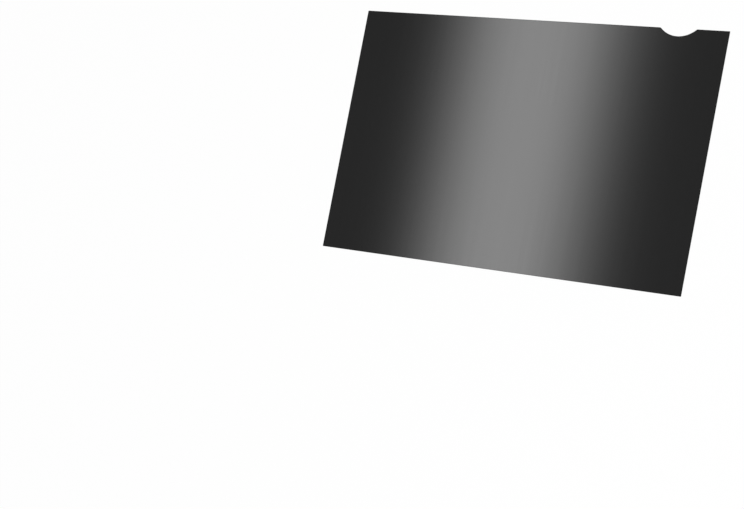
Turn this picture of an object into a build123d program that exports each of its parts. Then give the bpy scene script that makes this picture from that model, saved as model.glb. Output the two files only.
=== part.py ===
from build123d import *

import os

# Laptop privacy filter: one flat die-cut sheet of dark louvre film, cut to the 15.6 inch 16:9 standard size.
# A shallow finger notch near the right end of the top edge lets a fingertip lift the sheet.
#
# Frame: the sheet lies on its rear face, and the origin is the middle of that face.
# +X runs along the top edge towards the notch, +Y runs up towards the top edge,
# and +Z comes out of the front face.

# Driving dimensions, in millimetres
sheet_width = 344.0
sheet_height = 194.0
sheet_thickness = 0.5
corner_radius = 0.3

notch_width = 32.0
notch_depth = 5.9
notch_from_right_edge = 44.0
lip_radius = 1.0

edge_break = 0.06

# Places that follow from the driving dimensions
top_edge = sheet_height / 2
right_edge = sheet_width / 2
notch_middle = (right_edge - notch_from_right_edge, top_edge)
left_lip = (notch_middle[0] - notch_width / 2, top_edge)
right_lip = (notch_middle[0] + notch_width / 2, top_edge)

with BuildPart() as filter_sheet:
    with BuildSketch() as outline:
        RectangleRounded(sheet_width, sheet_height, corner_radius)

        # The notch is the segment between a chord on the top edge and one shallow arc below it
        with BuildLine():
            Line(left_lip, right_lip)
            SagittaArc(left_lip, right_lip, -notch_depth)
        make_face(mode=Mode.SUBTRACT)

        # Its two lips, where the arc meets the top edge, are the vertices nearest its middle
        lips = outline.vertices().sort_by_distance(notch_middle)[:2]
        fillet(lips, lip_radius)
    extrude(amount=sheet_thickness)

    # The sharp rims that the die leaves round both faces are broken
    broad_faces = filter_sheet.faces().filter_by(Axis.Z)
    chamfer(broad_faces.edges(), edge_break)

filter_sheet.part.label = "filter_sheet"

os.makedirs("parts", exist_ok=True)
export_step(filter_sheet.part, "parts/filter_sheet.step")
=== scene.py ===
from math import radians

import bpy
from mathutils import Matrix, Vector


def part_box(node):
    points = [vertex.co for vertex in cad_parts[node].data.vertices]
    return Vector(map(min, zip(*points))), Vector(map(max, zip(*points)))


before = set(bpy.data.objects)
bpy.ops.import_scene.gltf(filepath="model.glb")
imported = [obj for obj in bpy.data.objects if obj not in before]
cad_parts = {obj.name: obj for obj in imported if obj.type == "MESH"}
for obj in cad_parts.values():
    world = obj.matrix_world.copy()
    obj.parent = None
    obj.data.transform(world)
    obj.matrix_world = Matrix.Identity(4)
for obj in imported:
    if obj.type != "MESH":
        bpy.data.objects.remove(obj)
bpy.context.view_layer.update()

# Driving values: lengths in metres and angles in degrees, where the name doesn't say otherwise

# Camera: the photograph's view of the sheet, which lies flat here
camera_place = (1.13272, -0.21052, 1.46911)
camera_turn = (12.373, 38.94, 14.116)
camera_lens_mm = 118.5

# Film: the share of light that it passes is a bell across its width, the same all the way up. The bell is
# painted light: the bright band that a louvre film passes where its louvres line up with the eye. On a real
# film it moves with the viewer; here it is fixed on the film.
# The shoulder is the bell's power: the higher it is, the flatter the top and the steeper the sides.
painted_band_peak = 0.255
dark_share = 0.0197
band_middle = 0.0032
band_half_width = 0.0753
band_shoulder = 2.47
film_ior = 1.35
film_see_through = 1.0

# Louvre streaks: faint bands that run up the film
streak_spread = 0.03
streaks_per_metre = 700.0
streak_breaks_per_metre = 5.0
streak_detail = 3.0

# Rim: the cut edge is dark, and takes in the light that comes near it
rim_width = 0.0008
rim_share = 0.65
edge_share = 0.004

# Notch: its size and place in the part, which the rim follows
notch_width = 0.032
notch_depth = 0.0059
notch_from_right_edge = 0.044

# A face whose normal has more than this much of Z is one of the two broad faces
broad_face_z = 0.9

# Low-glare finish: cloudy roughness and a fine grain
roughest = 0.125
smoothest = 0.115
clouds_per_metre = 45.0
cloud_detail = 4.0
grains_per_metre = 2600.0
grain_detail = 2.0
grain_height = 0.000004

# Most of a noise pattern lies between these two values
noise_low = 0.28
noise_high = 0.72

# Studio: a white floor, a white horizon under a dim ceiling, and one large soft lamp.
# The horizon's top and the ceiling's bottom are heights on a sphere of radius 1.
floor_gap = 0.00005
floor_side = 60.0
floor_colour = (0.9, 0.9, 0.9, 1.0)
floor_glow = 0.96
horizon_white = 1.0
horizon_top = 0.12
ceiling_grey = 0.08
ceiling_bottom = 0.25
lamp_place = (1.35, -0.5, 2.4)
lamp_side = 2.2
lamp_watts = 90.0

# The sheet's box, from the frame
film_low, film_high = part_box("filter_sheet")
film_middle = (film_low + film_high) / 2
half_width = (film_high.x - film_low.x) / 2
half_height = (film_high.y - film_low.y) / 2


def feed(tree, socket, value):
    """Links a node's output to the socket, or sets a plain value on it."""
    if isinstance(value, bpy.types.NodeSocket):
        tree.links.new(value, socket)
    else:
        socket.default_value = value


def maths(tree, operation, *values):
    """The result of a Math node on outputs or plain numbers."""
    made = tree.nodes.new("ShaderNodeMath")
    made.operation = operation
    for socket, value in zip(made.inputs, values):
        feed(tree, socket, value)
    return made.outputs["Value"]


def distance(tree, place, point):
    """How far a place on the surface is from a point."""
    made = tree.nodes.new("ShaderNodeVectorMath")
    made.operation = "DISTANCE"
    feed(tree, made.inputs[0], place)
    feed(tree, made.inputs[1], point)
    return made.outputs["Value"]


def split(tree, vector):
    """The X, Y and Z of a vector."""
    made = tree.nodes.new("ShaderNodeSeparateXYZ")
    feed(tree, made.inputs["Vector"], vector)
    return made.outputs["X"], made.outputs["Y"], made.outputs["Z"]


def ramp(tree, value, start, end, low, high, shape="LINEAR"):
    """A value between start and end, carried over to low and high and held there outside them."""
    made = tree.nodes.new("ShaderNodeMapRange")
    made.interpolation_type = shape
    names = ("Value", "From Min", "From Max", "To Min", "To Max")
    for name, setting in zip(names, (value, start, end, low, high)):
        feed(tree, made.inputs[name], setting)
    return made.outputs["Result"]


def noise(tree, place, per_metre, detail, low, high):
    """A noise between low and high, with that many features in a metre along X, Y and Z."""
    mapping = tree.nodes.new("ShaderNodeMapping")
    feed(tree, mapping.inputs["Vector"], place)
    feed(tree, mapping.inputs["Scale"], per_metre)

    # The mapping sets the size, so the pattern's own scale is one
    pattern = tree.nodes.new("ShaderNodeTexNoise")
    feed(tree, pattern.inputs["Vector"], mapping.outputs["Vector"])
    feed(tree, pattern.inputs["Scale"], 1.0)
    feed(tree, pattern.inputs["Detail"], detail)
    return ramp(tree, pattern.outputs["Fac"], noise_low, noise_high, low, high)


def new_material(name):
    """A new material whose tree holds only an output node, and that node."""
    material = bpy.data.materials.new(name)
    material.use_nodes = True
    material.node_tree.nodes.clear()
    output = material.node_tree.nodes.new("ShaderNodeOutputMaterial")
    return material, output


def painted_louvre_band(tree, x):
    """The share of light that the film passes at x, away from its edges: a painted bright band where the
    louvres would line up with the eye, fixed on the film.
    """
    offset = maths(tree, "SUBTRACT", x, band_middle)
    reach = maths(tree, "DIVIDE", maths(tree, "ABSOLUTE", offset), band_half_width)
    fall = maths(tree, "POWER", reach, band_shoulder)
    bell = maths(tree, "EXPONENT", maths(tree, "MULTIPLY", fall, -1.0))
    return ramp(tree, bell, 0.0, 1.0, dark_share, painted_band_peak)


def rim_shade(tree, place, x, y):
    """How much of the film's light is left close to its outline: the ends, the sides and the notch."""
    from_end = maths(tree, "SUBTRACT", half_width, maths(tree, "ABSOLUTE", x))
    from_side = maths(tree, "SUBTRACT", half_height, maths(tree, "ABSOLUTE", y))

    # The notch's edge is an arc, so its distance is measured from the arc's middle
    notch_radius = ((notch_width / 2) ** 2 + notch_depth**2) / (2 * notch_depth)
    notch_x = film_high.x - notch_from_right_edge
    notch_y = film_high.y - notch_depth + notch_radius
    from_arc_middle = distance(tree, place, (notch_x, notch_y, film_middle.z))
    from_notch = maths(tree, "SUBTRACT", from_arc_middle, notch_radius)

    nearest = maths(tree, "MINIMUM", maths(tree, "MINIMUM", from_end, from_side), from_notch)
    return ramp(tree, nearest, 0.0, rim_width, rim_share, 1.0, "SMOOTHSTEP")


def film_material():
    """Dark film with a painted bright band of louvre light down its middle, louvre streaks, a dark cut edge
    and a low-glare finish.
    """
    material, output = new_material("louvre_film")
    tree = material.node_tree
    coordinates = tree.nodes.new("ShaderNodeTexCoord")
    place = coordinates.outputs["Object"]
    x, y, _ = split(tree, place)
    _, _, facing = split(tree, coordinates.outputs["Normal"])

    # The streaks go straight through the film, so they don't change along Z
    streak_scale = (streaks_per_metre, streak_breaks_per_metre, 0.0)
    streaks = noise(tree, place, streak_scale, streak_detail, 1 - streak_spread, 1 + streak_spread)
    shade = maths(tree, "MULTIPLY", streaks, rim_shade(tree, place, x, y))
    # Painted light: the fixed bright louvre band sets how much the broad faces pass, dimmed by the streaks
    # and the rim
    face_share = maths(tree, "MULTIPLY", painted_louvre_band(tree, x), shade)
    is_face = maths(tree, "GREATER_THAN", maths(tree, "ABSOLUTE", facing), broad_face_z)
    passed = ramp(tree, is_face, 0.0, 1.0, edge_share, face_share)

    clouds = noise(tree, place, (clouds_per_metre,) * 3, cloud_detail, smoothest, roughest)
    grain = noise(tree, place, (grains_per_metre,) * 3, grain_detail, 0.0, 1.0)
    bump = tree.nodes.new("ShaderNodeBump")
    feed(tree, bump.inputs["Height"], grain)
    feed(tree, bump.inputs["Distance"], grain_height)

    film = tree.nodes.new("ShaderNodeBsdfPrincipled")
    feed(tree, film.inputs["Base Color"], passed)
    feed(tree, film.inputs["Roughness"], clouds)
    feed(tree, film.inputs["Normal"], bump.outputs["Normal"])
    feed(tree, film.inputs["IOR"], film_ior)
    feed(tree, film.inputs["Transmission Weight"], film_see_through)
    feed(tree, output.inputs["Surface"], film.outputs["BSDF"])
    return material


def floor_material():
    """White to the eye, in the film's gloss and through the film, and a plain pale floor to the light."""
    material, output = new_material("studio_floor")
    tree = material.node_tree
    path = tree.nodes.new("ShaderNodeLightPath")
    seen = maths(tree, "MAXIMUM", path.outputs["Is Camera Ray"], path.outputs["Is Glossy Ray"])
    seen = maths(tree, "MAXIMUM", seen, path.outputs["Is Transmission Ray"])
    plain = tree.nodes.new("ShaderNodeBsdfDiffuse")
    feed(tree, plain.inputs["Color"], floor_colour)
    glow = tree.nodes.new("ShaderNodeEmission")
    mix = tree.nodes.new("ShaderNodeMixShader")
    feed(tree, mix.inputs["Fac"], maths(tree, "MULTIPLY", seen, floor_glow))
    feed(tree, mix.inputs[1], plain.outputs["BSDF"])
    feed(tree, mix.inputs[2], glow.outputs["Emission"])
    feed(tree, output.inputs["Surface"], mix.outputs["Shader"])
    return material


def add_floor():
    """A plain floor just under the film."""
    bpy.ops.mesh.primitive_plane_add(size=floor_side, location=(0, 0, film_low.z - floor_gap))
    floor = bpy.context.object
    floor.name = "studio_floor"
    floor.data.materials.append(floor_material())


def light_world():
    """A white horizon that fades to a dim ceiling."""
    world = bpy.data.worlds.new("studio")
    world.use_nodes = True
    tree = world.node_tree
    direction = tree.nodes.new("ShaderNodeTexCoord")
    _, _, height = split(tree, direction.outputs["Generated"])
    level = ramp(tree, height, horizon_top, ceiling_bottom, horizon_white, ceiling_grey, "SMOOTHSTEP")
    feed(tree, tree.nodes["Background"].inputs["Color"], level)
    bpy.context.scene.world = world


def add_lamp():
    """A large square soft lamp that points at the film, and isn't seen in it or through it."""
    lamp = bpy.data.lights.new("soft_lamp", "AREA")
    lamp.size = lamp_side
    lamp.energy = lamp_watts
    holder = bpy.data.objects.new("soft_lamp", lamp)
    bpy.context.scene.collection.objects.link(holder)
    holder.visible_glossy = False
    holder.visible_transmission = False
    holder.location = lamp_place
    holder.rotation_euler = (holder.location - film_middle).to_track_quat("Z", "Y").to_euler()


def add_camera():
    """The photograph's camera."""
    camera = bpy.data.cameras.new("camera")
    camera.lens = camera_lens_mm
    holder = bpy.data.objects.new("camera", camera)
    bpy.context.scene.collection.objects.link(holder)
    holder.location = camera_place
    holder.rotation_euler = [radians(angle) for angle in camera_turn]
    bpy.context.scene.camera = holder


film_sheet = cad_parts["filter_sheet"]
film_sheet.data.materials.clear()
film_sheet.data.materials.append(film_material())

add_floor()
light_world()
add_lamp()
add_camera()
bpy.context.scene.view_settings.view_transform = "Standard"
